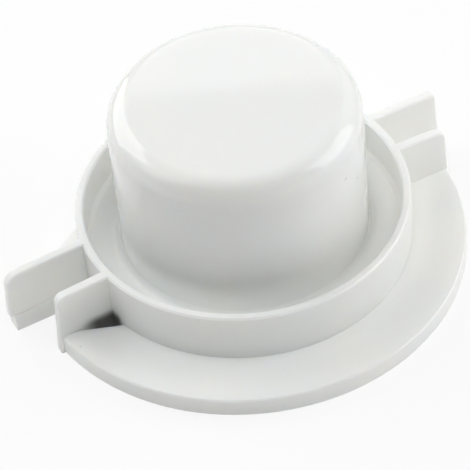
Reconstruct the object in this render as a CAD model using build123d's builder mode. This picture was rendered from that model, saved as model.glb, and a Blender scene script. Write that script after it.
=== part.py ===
from build123d import *
from math import asin, cos, degrees, radians, sin, sqrt, tan
import os

# Power button of a washing machine, moulded in one piece of white plastic.
# The button axis is Z, and the underside of the flange lies at Z = 0.
# The guide ribs run along X, and the flange spreads towards -Y.
# All lengths are in millimetres, and all angles in degrees.

# Button cap: a hollow thimble that the finger presses, measured at its foot
cap_diameter = 28.4
cap_height = 23.0
cap_edge_radius = 2.4
cap_draft = 0.6
cap_wall = 1.6
cap_roof = 1.8
cap_inner_chamfer = 0.8

# Ring channel between the cap and its collar
channel_width = 3.8
channel_floor_height = 3.9
channel_floor_thickness = 1.5
cap_root_radius = 0.9
channel_corner_chamfer = 0.4

# Collar that stands round the channel
collar_wall = 1.0
collar_height = 8.6
collar_rim_chamfer = 0.2

# Flange that spreads in front of the collar
flange_width = 6.15
flange_thickness = 2.4
flange_edge_chamfer = 0.15

# Two pairs of guide ribs, with a slot between the ribs of a pair
slot_width = 4.7
slot_shift = 0.2
rib_thickness = 1.2
rib_edge_chamfer = 0.15
rib_top_fall = 0.3
rib_end_draft = 4.0
near_rib_overhang = 0.4
near_rib_corner = 1.0
far_rib_length_left = 9.6
far_rib_length_right = 8.5
far_rib_corner_left = 1.6
far_rib_corner_right = 0.4
far_rib_overhang = 0.5

# Webs that tie the far ribs to the back of the collar
web_ledge = 0.55
web_step = 0.1
web_landing_angle = 45.8

# Relief opening through the flange at the root of the left near rib
relief_length = 4.2
relief_width = 2.4

# Stiffening cross and plunger pad under the roof of the cap
cross_thickness = 1.2
cross_depth = 3.0
pad_diameter = 8.0
pad_depth = 5.0

# Radii and heights that follow from the sizes above
cap_radius = cap_diameter / 2
cap_bore_radius = cap_radius - cap_wall
cap_taper = tan(radians(cap_draft))
collar_inner_radius = cap_radius + channel_width
collar_radius = collar_inner_radius + collar_wall
collar_middle_radius = collar_inner_radius + collar_wall / 2
flange_radius = collar_radius + flange_width
channel_underside = channel_floor_height - channel_floor_thickness
roof_underside = cap_height - cap_roof
cap_top_radius = cap_radius - cap_taper * (cap_height - channel_floor_height)
bore_top_radius = cap_bore_radius - cap_taper * (roof_underside - channel_underside)
match = 0.001

# Faces of the ribs: the slot lies between the inner faces of the near and the far pair
near_inner_face = slot_shift - slot_width / 2
near_outer_face = near_inner_face - rib_thickness
far_inner_face = slot_shift + slot_width / 2
far_outer_face = far_inner_face + rib_thickness
rib_end_height = collar_height - rib_top_fall

# Ends of the ribs: the near pair follows the flange, the far pair has its own lengths
LEFT, RIGHT = -1, 1
near_end = sqrt(flange_radius**2 - near_outer_face**2) + near_rib_overhang
far_ends = {LEFT: collar_radius + far_rib_length_left, RIGHT: collar_radius + far_rib_length_right}
far_corners = {LEFT: far_rib_corner_left, RIGHT: far_rib_corner_right}
near_middle = near_inner_face - rib_thickness / 2
far_middle = far_inner_face + rib_thickness / 2

# Corner where the front face of the left near rib meets the outside of the collar
relief_corner = sqrt(collar_radius**2 - near_outer_face**2)
relief_angle = degrees(asin(-near_outer_face / collar_radius) + relief_width / collar_radius)


def in_collar(side, angle):
    """Point in the middle of the collar wall, at an angle from the ribs on the given side."""
    across = side * collar_middle_radius * cos(radians(angle))
    return (across, collar_middle_radius * sin(radians(angle)))


def rib_outline(side, foot):
    """Outline of a rib from the button axis to its foot, with a leaning end and a falling top."""
    end, bottom = foot[-1]
    top_end = end - tan(radians(rib_end_draft)) * (rib_end_height - bottom)
    top = [(top_end, rib_end_height), (collar_middle_radius, collar_height), (0, collar_height)]
    return [(side * across, height) for across, height in [(0, 0), *foot, *top]]


def circles(piece, radius, height):
    """Full circles round the button axis, picked by their radius and height."""
    return piece.edges().filter_by(
        lambda edge: edge.geom_type == GeomType.CIRCLE
        and abs(edge.radius - radius) < match
        and abs(edge.center().Z - height) < match
    )


with BuildPart() as guide_ribs:
    # Left and right ribs meet on the button axis, inside the drum that carries them
    for side, end in far_ends.items():
        foot = end - far_rib_overhang
        far_foot = [(foot, 0), (foot, flange_thickness), (end, flange_thickness)]
        near_foot = [(near_end, 0)]
        far_rib = (far_middle, far_foot, far_corners[side])
        near_rib = (near_middle, near_foot, near_rib_corner)
        for middle, foot_points, corner in (far_rib, near_rib):
            outline = rib_outline(side, foot_points)
            with BuildSketch(Plane.XZ.offset(-middle)):
                with BuildLine():
                    FilletPolyline(
                        *outline,
                        radius=[0] * (len(outline) - 3) + [corner, 0, 0],
                        close=True,
                    )
                make_face()
            extrude(amount=rib_thickness / 2, both=True)

    # Soft edges along the tops and the ends, down to the feet
    rib_edges = guide_ribs.edges().filter_by(
        lambda edge: edge.bounding_box().size.Y < rib_thickness / 2
        and edge.center().Z > flange_thickness + rib_edge_chamfer
    )
    chamfer(rib_edges, rib_edge_chamfer)

with BuildPart() as power_button:
    # Flange: a round plate with softened edges, kept only in front of the slot
    with BuildSketch(Plane.XZ):
        with BuildLine():
            Polyline(
                (0, 0),
                (flange_radius - flange_edge_chamfer, 0),
                (flange_radius, flange_edge_chamfer),
                (flange_radius, flange_thickness - flange_edge_chamfer),
                (flange_radius - flange_edge_chamfer, flange_thickness),
                (0, flange_thickness),
                close=True,
            )
        make_face()
    revolve(axis=Axis.Z)
    split(bisect_by=Plane.XZ.offset(-near_inner_face), keep=Keep.TOP)

    # Relief opening: a triangle at the root of the left near rib
    with BuildSketch(Plane.XY):
        with BuildLine():
            Polyline(
                (LEFT * relief_corner, near_outer_face),
                (LEFT * (relief_corner + relief_length), near_outer_face),
                in_collar(LEFT, -relief_angle),
                close=True,
            )
        make_face()
    extrude(amount=flange_thickness, mode=Mode.SUBTRACT)

    # Webs: straight-edged plates from the ends of the far ribs to the back of the collar
    with BuildSketch(Plane.XY):
        for side, end in far_ends.items():
            with BuildLine():
                Polyline(
                    (0, far_inner_face - web_step),
                    (side * (end - far_rib_overhang), far_inner_face - web_step),
                    (side * (end - far_rib_overhang), far_outer_face + web_ledge),
                    in_collar(side, web_landing_angle),
                    close=True,
                )
            make_face()
    extrude(amount=flange_thickness)

    # Guide ribs: the near ones stand on the flange, the far ones overhang their webs a little
    add(guide_ribs.part)

    # Drum: the round block that carries the flange, the webs and the ribs
    with BuildSketch(Plane.XZ):
        with BuildLine():
            Polyline(
                (0, 0),
                (collar_radius, 0),
                (collar_radius, collar_height - collar_rim_chamfer),
                (collar_radius - collar_rim_chamfer, collar_height),
                (0, collar_height),
                close=True,
            )
        make_face()
    revolve(axis=Axis.Z)

    # Pocket that leaves the collar standing round the channel floor
    with BuildSketch(Plane.XZ):
        with BuildLine():
            Polyline(
                (0, channel_floor_height),
                (collar_inner_radius - channel_corner_chamfer, channel_floor_height),
                (collar_inner_radius, channel_floor_height + channel_corner_chamfer),
                (collar_inner_radius, collar_height - collar_rim_chamfer),
                (collar_inner_radius + collar_rim_chamfer, collar_height),
                (0, collar_height),
                close=True,
            )
        make_face()
    revolve(axis=Axis.Z, mode=Mode.SUBTRACT)

    # Cap: a slightly tapered block with a softened top edge, blended into the channel floor
    with BuildSketch(Plane.XZ):
        with BuildLine():
            FilletPolyline(
                (0, channel_underside),
                (cap_radius, channel_underside),
                (cap_radius, channel_floor_height),
                (cap_top_radius, cap_height),
                (0, cap_height),
                radius=[0, 0, 0, cap_edge_radius, 0],
                close=True,
            )
        make_face()
    revolve(axis=Axis.Z)
    fillet(circles(power_button, cap_radius, channel_floor_height), cap_root_radius)

    # Hollow underside: shallow below the channel, deep inside the cap
    with BuildSketch(Plane.XZ):
        with BuildLine():
            Polyline(
                (0, 0),
                (collar_inner_radius, 0),
                (collar_inner_radius, channel_underside),
                (cap_bore_radius, channel_underside),
                (bore_top_radius, roof_underside - cap_inner_chamfer),
                (bore_top_radius - cap_inner_chamfer, roof_underside),
                (0, roof_underside),
                close=True,
            )
        make_face()
    revolve(axis=Axis.Z, mode=Mode.SUBTRACT)

    # Underside of the roof: a stiffening cross that runs into the wall, and the plunger pad
    with BuildSketch(Plane.XY.offset(roof_underside + cap_roof / 2)):
        with PolarLocations(0, 2, angular_range=180):
            Rectangle(2 * bore_top_radius + cap_wall, cross_thickness)
    extrude(amount=-cross_depth - cap_roof / 2)
    with BuildSketch(Plane.XY.offset(roof_underside + cap_roof / 2)):
        Circle(pad_diameter / 2)
    extrude(amount=-pad_depth - cap_roof / 2)

power_button.part.label = "power_button"

os.makedirs("parts", exist_ok=True)
export_step(power_button.part, "parts/power_button.step")
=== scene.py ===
# %% [markdown]
# # A washing machine power button
# The object is one moulding of white plastic: a hollow cap for the finger, a ring
# channel round it, a collar, a half-round flange in front and two pairs of guide ribs.
# Its solid comes ready from the CAD frame, so this lesson is about the rest:
# the finish of the plastic, the table it lies on, the light and the camera.

import bpy
import numpy as np
from mathutils import Matrix, Vector

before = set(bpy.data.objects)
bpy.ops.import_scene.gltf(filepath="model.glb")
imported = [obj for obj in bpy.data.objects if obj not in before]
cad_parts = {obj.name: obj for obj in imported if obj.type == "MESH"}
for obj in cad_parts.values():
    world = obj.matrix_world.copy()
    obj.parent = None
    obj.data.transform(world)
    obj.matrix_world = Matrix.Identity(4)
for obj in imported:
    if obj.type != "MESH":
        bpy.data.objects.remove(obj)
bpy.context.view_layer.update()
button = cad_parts["power_button"]
MM = 1000.0  # millimetres to the metre
print("button of", len(button.data.polygons), "triangles,", len(button.data.vertices), "points")

# %% [markdown]
# ## Writing shaders as sums
# A finish is easier to read as a formula than as a drawing of wires. The class below
# wraps one socket, and each operator on it adds a Math node to the same tree.
# Every other kind of node comes from its `node` method: settings go in first, because
# some of them change which sockets the node has, and then the values and the links.


# %% A socket that can be added and multiplied
class Signal:
    """One socket of a node tree; sums and products of signals become Math nodes."""

    def __init__(self, tree, socket=None):
        self.tree = tree
        self.socket = socket

    def node(self, kind, settings=None, inputs=None, output=0):
        """Adds a node of this kind and gives one of its outputs as a signal."""
        made = self.tree.nodes.new(kind)
        for name, value in (settings or {}).items():
            setattr(made, name, value)
        for name, value in (inputs or {}).items():
            if isinstance(value, Signal):
                self.tree.links.new(value.socket, made.inputs[name])
            else:
                made.inputs[name].default_value = value
        return Signal(self.tree, made.outputs[output] if made.outputs else None)

    def math(self, operation, first, second):
        """One Math node with its two values."""
        return self.node("ShaderNodeMath", {"operation": operation}, {0: first, 1: second})

    def __add__(self, other):
        return self.math("ADD", self, other)

    def __radd__(self, other):
        return self.math("ADD", other, self)

    def __sub__(self, other):
        return self.math("SUBTRACT", self, other)

    def __rsub__(self, other):
        return self.math("SUBTRACT", other, self)

    def __mul__(self, other):
        return self.math("MULTIPLY", self, other)

    def __rmul__(self, other):
        return self.math("MULTIPLY", other, self)

    def vector(self, operation, *others, output=0):
        """One Vector Math node on this vector and on the others, if it takes any."""
        values = dict(enumerate((self, *others)))
        return self.node("ShaderNodeVectorMath", {"operation": operation}, values, output)

    def axis(self, name):
        """The X, Y or Z of a vector."""
        return self.node("ShaderNodeSeparateXYZ", inputs={0: self}, output=name)

    def step(self, start, end):
        """Smooth step: 0 up to start, 1 from end on, with an S-shaped rise between them."""
        return self.node(
            "ShaderNodeMapRange",
            {"interpolation_type": "SMOOTHSTEP"},
            {"Value": self, "From Min": start, "From Max": end},
        )

    def past(self, edge, blend):
        """Smooth step whose start and end lie past an edge by the two numbers of blend."""
        return self.step(edge + blend[0], edge + blend[1])


def new_material(name):
    """An empty material, and a signal that stands for its tree."""
    material = bpy.data.materials.new(name)
    material.use_nodes = True
    material.node_tree.nodes.clear()
    return material, Signal(material.node_tree)


# %% [markdown]
# ## The white plastic
# The mould of such a button is polished where the finger and the eye meet it, and left
# with a fine spark-eroded grain elsewhere. So the cap is glossy and the collar, the
# flange and the ribs are satin. Both finishes could be two materials, but the part is
# one shot of plastic, so one material blends them by distance from the button axis
# and by height. Object coordinates give both, and they stay put in every view.

# %% Places on the button, in millimetres
plastic, plastic_tree = new_material("white_plastic")
place = plastic_tree.node("ShaderNodeTexCoord", output="Object")
place_mm = place.vector("MULTIPLY", (MM, MM, MM))
radius = place_mm.vector("MULTIPLY", (1.0, 1.0, 0.0)).vector("LENGTH", output="Value")
height = place_mm.axis("Z")
print("places in the plastic:", len(plastic.node_tree.nodes), "nodes")

# %% Where the mould was polished
CAP_RADIUS = 14.2
CAP_BORE_RADIUS = 12.6
CAP_ROOF_UNDERSIDE = 21.2
CHANNEL_FLOOR = 3.9
WALL_BLEND = (0.3, 0.9)
FLOOR_BLEND = (0.5, 1.2)
BORE_BLEND = (0.3, 0.6)
ROOF_BLEND = (0.2, 0.5)

on_cap = (1 - radius.past(CAP_RADIUS, WALL_BLEND)) * height.past(CHANNEL_FLOOR, FLOOR_BLEND)
below_roof = 1 - height.past(CAP_ROOF_UNDERSIDE, ROOF_BLEND)
inside_cap = (1 - radius.past(CAP_BORE_RADIUS, BORE_BLEND)) * below_roof
polished = on_cap * (1 - inside_cap)
print("polished out to", CAP_RADIUS, "mm and above", CHANNEL_FLOOR, "mm")

# %% [markdown]
# ## Uneven plastic
# No moulding is quite even. The melt drifts in colour as it cools, the mould leaves a
# fine grain, the polish waves a little, and dust settles later. A picture wrapped round
# the walls would stretch, so each of these is a noise in space, at its size in
# millimetres.

# %% Grain, flow and dust
DUST_RISE = (0.70, 0.78)


def noise(points, per_mm, detail, rough=0.5):
    """Noise between 0 and 1 with about `per_mm` waves to the millimetre."""
    return points.node(
        "ShaderNodeTexNoise",
        {"noise_dimensions": "3D"},
        {"Vector": points, "Scale": per_mm, "Detail": detail, "Roughness": rough},
        "Fac",
    )


flow = noise(place_mm, per_mm=0.08, detail=2.0)
cloud = noise(place_mm, per_mm=0.6, detail=3.0)
grain = noise(place_mm, per_mm=9.0, detail=2.0, rough=0.6)
ripple = noise(place_mm, per_mm=0.35, detail=1.0)
dust = noise(place_mm, per_mm=2.6, detail=4.0, rough=0.7).step(*DUST_RISE)
print("textures made:", len(plastic.node_tree.nodes), "nodes")

# %% [markdown]
# ## Specks
# A little plastic burns in the moulding machine and stays in the part as dark specks.
# Noise would give ragged blots, so they come from a Voronoi texture, which fills space
# with cells. A speck is what lies near the centre of a cell, and the random colour of
# each cell decides whether it holds one.

# %% Specks in the plastic
SPECKS_PER_MM = 0.30
SPECK_SIZE = 0.16
SPECK_CORE = 0.5
SPECK_RIM = 1.5
SPECK_LOT = (0.55, 0.75)


def cells(points, per_mm, result):
    """Round cells about 1 / `per_mm` apart: the distance to a centre, or its own colour."""
    return points.node(
        "ShaderNodeTexVoronoi", inputs={"Vector": points, "Scale": per_mm}, output=result
    )


speck_in_cell = SPECK_SIZE * SPECKS_PER_MM
near_centre = 1 - cells(place_mm, SPECKS_PER_MM, "Distance").step(
    SPECK_CORE * speck_in_cell, SPECK_RIM * speck_in_cell
)
lot = cells(place_mm, SPECKS_PER_MM, "Color").axis("X")
specks = near_centre * lot.step(*SPECK_LOT)
print("specks made:", len(plastic.node_tree.nodes), "nodes")

# %% [markdown]
# ## The relief opening
# Beside the left near rib a small triangular opening goes through the flange, and it
# looks dark. Its walls get a painted shade, a darker colour that fades out just above the
# flange, so this part of the look is painted shade and not shape. The mask is a product
# of five limits, counted from the tip of the triangle, the collar and the flange.

# %% Painted shade inside the relief opening
RELIEF_TIP = (-22.9, -3.35, 0.0)
INTO_RELIEF = (0.384, 0.923, 0.0)
RELIEF_REACH = 5.6
COLLAR_RADIUS = 19.0
FLANGE_TOP = 2.4
EDGE_BLEND = (0.1, 0.9)
RIB_BLEND = (0.05, 0.35)
REACH_BLEND = (0.0, 0.6)
COLLAR_BLEND = (-0.5, -0.2)
FADE_BLEND = (0.0, 1.5)

from_tip = place_mm.vector("SUBTRACT", RELIEF_TIP)
past_edge = from_tip.vector("DOT_PRODUCT", INTO_RELIEF, output="Value").step(*EDGE_BLEND)
before_rib = 1 - from_tip.axis("Y").step(*RIB_BLEND)
near_tip = 1 - from_tip.axis("X").past(RELIEF_REACH, REACH_BLEND)
beside_collar = radius.past(COLLAR_RADIUS, COLLAR_BLEND)
low_down = 1 - height.past(FLANGE_TOP, FADE_BLEND)
# Mask of the painted shade that darkens the walls of the relief opening
relief_painted_shade = past_edge * before_rib * near_tip * beside_collar * low_down
print("relief tone made:", len(plastic.node_tree.nodes), "nodes")

# %% [markdown]
# ## Colour and gloss
# The colour is a cool white that drifts by about two parts in a hundred. Dust settles
# where no finger wipes it, on the satin faces, and its grey is made stronger low down,
# so the part gets darker towards the bottom. Roughness follows the polish, and a Bump
# node turns the grain and the slow ripple of the cap into tiny slopes. White plastic
# also lets a little light through, which shows in the thin ribs: subsurface scattering
# about as deep as they are thick.

# %% Colour of the plastic
COOL_WHITE = (0.845, 0.861, 0.854, 1.0)
WARM_WHITE = (0.868, 0.870, 0.846, 1.0)
DUST_GREY = (0.66, 0.66, 0.63, 1.0)
SPECK_GREY = (0.30, 0.29, 0.27, 1.0)
# Dark colour of the painted shade in the relief opening
RELIEF_SHADE_COLOUR = (0.05, 0.05, 0.045, 1.0)
WARM_RISE = (0.3, 0.7)
DUST_AMOUNT = 0.25
LOW_DOWN_HEIGHTS = (2.0, 9.0)
LESS_HIGH_UP = 0.6
SPECK_AMOUNT = 0.6
RELIEF_SHADE_AMOUNT = 0.85

# A Mix node has a set of sockets for every kind of data; these are the ones for colours
MIX_FACTOR, MIX_FIRST, MIX_SECOND, MIX_RESULT = 0, 6, 7, 2


def mix_colours(amount, first, second):
    """A blend of two colours: the first where amount is 0, the second where it is 1."""
    return amount.node(
        "ShaderNodeMix",
        {"data_type": "RGBA"},
        {MIX_FACTOR: amount, MIX_FIRST: first, MIX_SECOND: second},
        MIX_RESULT,
    )


white = mix_colours(flow.step(*WARM_RISE), COOL_WHITE, WARM_WHITE)
# The dust grey is made stronger low down, so the part gets darker towards the bottom
stronger_low_down = 1 - height.step(*LOW_DOWN_HEIGHTS) * LESS_HIGH_UP
dust_darker_low_down = dust * (1 - polished) * DUST_AMOUNT * stronger_low_down
dusty = mix_colours(dust_darker_low_down, white, DUST_GREY)
speckled = mix_colours(specks * SPECK_AMOUNT, dusty, SPECK_GREY)
# Painted shade: the walls of the relief opening are darkened in the colour
colour = mix_colours(relief_painted_shade * RELIEF_SHADE_AMOUNT, speckled, RELIEF_SHADE_COLOUR)
print("colour made:", len(plastic.node_tree.nodes), "nodes")

# %% Put the finish together
GLOSSY = 0.05
SATIN = 0.38
GLOSSY_DRIFT = 0.02
SATIN_DRIFT = 0.08
CLOUD_MEAN = 0.5
DUST_ROUGHNESS = 0.3
GRAIN_HEIGHT = 0.010
RIPPLE_HEIGHT = 0.008
BUMP_STRENGTH = 0.35
PLASTIC_IOR = 1.5
GLOW_SHARE = 0.7
GLOW_COLOURS = (1.0, 0.9, 0.8)
GLOW_DEPTH = 0.0016

drift = (cloud - CLOUD_MEAN) * (SATIN_DRIFT - polished * (SATIN_DRIFT - GLOSSY_DRIFT))
roughness = SATIN - polished * (SATIN - GLOSSY) + drift + dust_darker_low_down * DUST_ROUGHNESS
bumps = grain * (1 - polished) * GRAIN_HEIGHT + ripple * polished * RIPPLE_HEIGHT
slopes = bumps.node(
    "ShaderNodeBump", inputs={"Strength": BUMP_STRENGTH, "Distance": 1 / MM, "Height": bumps}
)
surface = plastic_tree.node(
    "ShaderNodeBsdfPrincipled",
    inputs={
        "Base Color": colour,
        "Roughness": roughness,
        "Normal": slopes,
        "IOR": PLASTIC_IOR,
        "Subsurface Weight": GLOW_SHARE,
        "Subsurface Radius": GLOW_COLOURS,
        "Subsurface Scale": GLOW_DEPTH,
    },
)
plastic_tree.node("ShaderNodeOutputMaterial", inputs={"Surface": surface})
button.data.materials.clear()
button.data.materials.append(plastic)
print("white plastic made:", len(plastic.node_tree.nodes), "nodes")

# %% [markdown]
# ## Camera
# The picture was taken from 45 degrees above, close to the flange, with a long lens
# and a slight tilt of the camera. The angle round the button is counted from -Y.

# %% Camera
CAMERA_SIDE = np.radians(-24.65)
CAMERA_HEIGHT = np.radians(45.284)
CAMERA_DISTANCE = 0.25608
CAMERA_TARGET = np.array([0.0, 0.0, 0.0038])
CAMERA_ROLL = np.radians(-5.584)
CAMERA_PAN = np.radians(-0.284)
CAMERA_TILT = np.radians(-0.250)
CAMERA_LENS = 171.86
CAMERA_SENSOR = 36.0
CAMERA_NEAREST = 0.01


def turned(first, second, angle):
    """Two directions at right angles, turned by an angle in the plane that they span."""
    ahead = first * np.cos(angle) + second * np.sin(angle)
    return ahead, second * np.cos(angle) - first * np.sin(angle)


def seen_from(side, up):
    """Unit vector from the button to a place at these angles round and above it."""
    return np.array([np.sin(side) * np.cos(up), -np.cos(side) * np.cos(up), np.sin(up)])


def add_camera():
    """A camera that looks at the target, then panned, tilted and rolled a little."""
    forward = -seen_from(CAMERA_SIDE, CAMERA_HEIGHT)
    stand = CAMERA_TARGET - CAMERA_DISTANCE * forward
    right = np.array([np.cos(CAMERA_SIDE), np.sin(CAMERA_SIDE), 0.0])
    up = np.cross(right, forward)
    forward, right = turned(forward, right, CAMERA_PAN)
    forward, up = turned(forward, up, CAMERA_TILT)
    right, up = turned(right, up, CAMERA_ROLL)
    lens = bpy.data.cameras.new("camera")
    lens.lens = CAMERA_LENS
    lens.sensor_width = CAMERA_SENSOR
    lens.clip_start = CAMERA_NEAREST
    camera = bpy.data.objects.new("camera", lens)
    camera.matrix_world = Matrix.Translation(Vector(stand)) @ Matrix(
        np.stack([right, up, -forward], axis=1).tolist()
    ).to_4x4()
    bpy.context.scene.collection.objects.link(camera)
    return camera


bpy.context.scene.camera = add_camera()
print("camera at", [round(v, 4) for v in bpy.context.scene.camera.location])

# %% [markdown]
# ## The table
# The button lies on a pale table. A plane would do, but a round top has no corner that
# could show in any view. It is a grid of rings and spokes: the point at ring r and
# angle a is (r cos a, r sin a, 0). The rings grow by a constant factor, so they are
# fine below the button, where its shadow falls, and wide far away.


# %% A round table top from two parameters
def disc_points(rings, angles):
    """Points (r cos a, r sin a, 0) for every ring radius r and every angle a."""
    ring, angle = np.meshgrid(rings, angles, indexing="ij")
    return np.stack([ring * np.cos(angle), ring * np.sin(angle), 0 * ring], axis=-1)


def disc_faces(ring_count, spoke_count):
    """One square per cell of the grid, with the last spoke joined to the first."""
    ring, spoke = np.meshgrid(np.arange(ring_count - 1), np.arange(spoke_count), indexing="ij")
    after = (spoke + 1) % spoke_count
    corners = [
        ring * spoke_count + spoke,
        (ring + 1) * spoke_count + spoke,
        (ring + 1) * spoke_count + after,
        ring * spoke_count + after,
    ]
    return np.stack(corners, axis=-1).reshape(-1, 4)


SMALLEST_RING = 0.0005
TABLE_RADIUS = 1.2
RINGS = 40
SPOKES = 96
rings = np.geomspace(SMALLEST_RING, TABLE_RADIUS, RINGS)
angles = np.linspace(0, 2 * np.pi, SPOKES, endpoint=False)
table_mesh = bpy.data.meshes.new("table_top")
table_points = disc_points(rings, angles).reshape(-1, 3)
middle = [list(range(SPOKES))]
table_mesh.from_pydata(table_points, [], disc_faces(RINGS, SPOKES).tolist() + middle)
table_top = bpy.data.objects.new("table_top", table_mesh)
bpy.context.scene.collection.objects.link(table_top)
print("table top of", len(table_mesh.polygons), "faces")

# %% [markdown]
# ## Table paint
# The table is white, yet a lit white still renders a little grey. Light Path says
# whether a ray comes straight from the camera or from a reflection, and for those rays
# a part of the surface shines with strength 1, which is white. The rest stays a plain
# painted top, so the shadow of the button remains. Under the button no light falls, so
# the shine ends at its outline: at the collar behind, and at the flange in front. From
# below the table is see-through, and it stops no light of a lamp, so that the hollow
# underside can be looked at too.


# %% Where the table shines
def ray_is(tree, kind):
    """1 for rays of this kind, such as Camera or Glossy, and 0 for all others."""
    return tree.node("ShaderNodeLightPath", output=f"Is {kind} Ray")


SHINE = 0.80
SHINE_BLEND = (-0.005, 0.0)
FLANGE_WIDTH = 0.006
FLANGE_BACK = (-0.004, -0.001)

paint, paint_tree = new_material("table_paint")
seen = ray_is(paint_tree, "Camera") + ray_is(paint_tree, "Glossy")
seen = paint_tree.math("MINIMUM", seen + ray_is(paint_tree, "Transmission"), 1.0)
table_place = paint_tree.node("ShaderNodeTexCoord", output="Object")
from_middle = table_place.vector("LENGTH", output="Value")
behind = table_place.axis("Y").step(*FLANGE_BACK)
beside = from_middle - (1 - behind) * FLANGE_WIDTH
shine = seen * SHINE * beside.past(COLLAR_RADIUS / MM, SHINE_BLEND)
print("shine made:", len(paint.node_tree.nodes), "nodes")

# %% Table paint
WHITE = (1.0, 1.0, 1.0, 1.0)
TABLE_WHITE = (0.92, 0.92, 0.92, 1.0)

painted = paint_tree.node("ShaderNodeBsdfDiffuse", inputs={"Color": TABLE_WHITE})
shining = paint_tree.node("ShaderNodeEmission", inputs={"Color": WHITE, "Strength": 1.0})
top_side = paint_tree.node("ShaderNodeMixShader", inputs={0: shine, 1: painted, 2: shining})
from_below = paint_tree.node("ShaderNodeNewGeometry", output="Backfacing")
see_through = paint_tree.math("MAXIMUM", from_below, ray_is(paint_tree, "Shadow"))
clear = paint_tree.node("ShaderNodeBsdfTransparent")
finish = paint_tree.node("ShaderNodeMixShader", inputs={0: see_through, 1: top_side, 2: clear})
paint_tree.node("ShaderNodeOutputMaterial", inputs={"Surface": finish})
table_mesh.materials.append(paint)
print("table paint made:", len(paint.node_tree.nodes), "nodes")

# %% [markdown]
# ## The room
# The room is white for the camera, as the table is, and nearly dark for everything
# else, so that the lamps decide how bright each side of the button is. A polished cap
# also mirrors the room: pale at the back and the sides, and dark towards the camera,
# where whoever takes the picture stands. That dark part draws the line under its edge.

# %% World
ROOM_LIGHT = 0.05
ROOM_SHEEN = 0.7
DARK_FRONT = 0.6
FRONT_RISE = (0.1, 0.5)

world = bpy.data.worlds.new("white_room")
world.use_nodes = True
world.node_tree.nodes.clear()
bpy.context.scene.world = world
room_tree = Signal(world.node_tree)
direction = room_tree.node("ShaderNodeTexCoord", output="Generated")
camera_side = tuple(seen_from(CAMERA_SIDE, 0.0))
ahead = direction.vector("DOT_PRODUCT", camera_side, output="Value")
sheen = ROOM_SHEEN - DARK_FRONT * ahead.step(*FRONT_RISE)
shown = ray_is(room_tree, "Camera") + ray_is(room_tree, "Transmission")
shown = room_tree.math("MINIMUM", shown, 1.0)
mirrored = ray_is(room_tree, "Glossy") * sheen
strength = room_tree.math("MAXIMUM", room_tree.math("MAXIMUM", shown, mirrored), ROOM_LIGHT)
room = room_tree.node("ShaderNodeBackground", inputs={"Color": WHITE, "Strength": strength})
room_tree.node("ShaderNodeOutputWorld", inputs={"Surface": room})
print("room made:", len(world.node_tree.nodes), "nodes")

# %% [markdown]
# ## Light
# Photo tables are lit by large soft lamps. Most of the light comes from the right and
# from behind on the left, so the round walls turn from light to shade and light falls
# into the slots and through the thin ribs. A small panel behind the button is mirrored
# in the far half of the cap's top. A lamp high in front lights the flange and the
# channel; it is hidden from reflections, as a polarising filter would do it. A weak
# one below the table is there for views of the underside.

# %% Soft lamps
LAMP_DISTANCE = 0.50


def soft_lamp(name, side, up, size, power):
    """A square lamp at angles counted from the camera's side, aimed at the button."""
    towards = seen_from(CAMERA_SIDE + np.radians(side), np.radians(up))
    lamp = bpy.data.lights.new(name, "AREA")
    lamp.shape = "SQUARE"
    lamp.size = size
    lamp.energy = power
    holder = bpy.data.objects.new(name, lamp)
    holder.location = Vector(towards * LAMP_DISTANCE)
    holder.rotation_euler = Vector(-towards).to_track_quat("-Z", "Y").to_euler()
    bpy.context.scene.collection.objects.link(holder)
    return holder


lamps = [
    soft_lamp("lamp_back_left", side=-135, up=32, size=0.40, power=1.25),
    soft_lamp("lamp_back", side=180, up=32.3, size=0.20, power=0.16),
    soft_lamp("lamp_back_right", side=135, up=30, size=0.35, power=0.25),
    soft_lamp("lamp_right", side=90, up=24, size=0.40, power=1.35),
    soft_lamp("lamp_left", side=-90, up=45, size=0.35, power=0.52),
    soft_lamp("lamp_below", side=0, up=-90, size=0.40, power=0.50),
]
front_lamp = soft_lamp("lamp_front", side=12, up=70, size=0.25, power=0.90)
front_lamp.visible_glossy = False
print("lamps:", [(lamp.name, lamp.data.energy) for lamp in [*lamps, front_lamp]])

# %% [markdown]
# ## Finish
# Colours are shown as they are written, without a film look.

# %% Finish
bpy.context.scene.view_settings.view_transform = "Standard"
